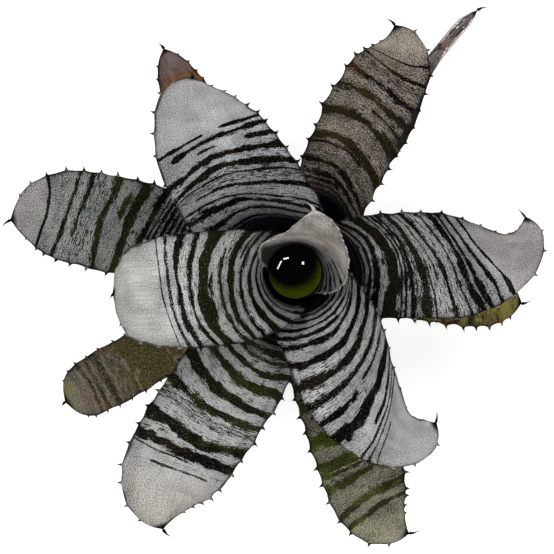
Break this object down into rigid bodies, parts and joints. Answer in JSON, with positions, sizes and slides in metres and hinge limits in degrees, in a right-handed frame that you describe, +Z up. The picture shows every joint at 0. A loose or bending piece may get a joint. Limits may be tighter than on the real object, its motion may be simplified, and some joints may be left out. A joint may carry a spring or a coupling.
{
  "type": "zebra bromeliad plant",
  "caption": "Tank bromeliad with arching, spiny strap leaves, silver-grey with ragged dark cross-bands, in an open rosette round a pool of water.",
  "frame": {"origin": "on the tank's axis, at the stem's flat cut foot, where the plant rests on a surface", "axes": "+Z up along the tank's axis; seen from above, +X points to the right of the picture and +Y to its top"},
  "size_m": [0.4287, 0.4376, 0.2369],
  "materials": {
    "leaf_silver": "satin, silver-grey scurf over dark green, crossed by ragged black-green bands, pale at the end",
    "leaf_olive": "satin, thin scurf over olive green, crossed by dull dark bands",
    "leaf_brown": "matte, ageing brown and rust, faint bands",
    "stem_bark": "rough brown caudex with wiry trimmed roots",
    "water": "still, dark, glossy water"
  },
  "bodies": {
    "root": {"stem": "stem_bark", "tank_water": "water", "heart_leaf": "leaf_silver", "left_leaf": "leaf_silver", "lower_right_leaf": "leaf_silver", "upper_left_leaf": "leaf_silver", "lower_left_leaf": "leaf_silver", "right_leaf": "leaf_silver", "upper_right_leaf": "leaf_olive", "far_left_leaf": "leaf_silver", "bottom_leaf": "leaf_olive", "old_upper_left_leaf": "leaf_brown", "old_lower_left_leaf": "leaf_brown", "old_right_leaf": "leaf_olive", "dry_leaf": "leaf_brown"}
  },
  "joints": []
}
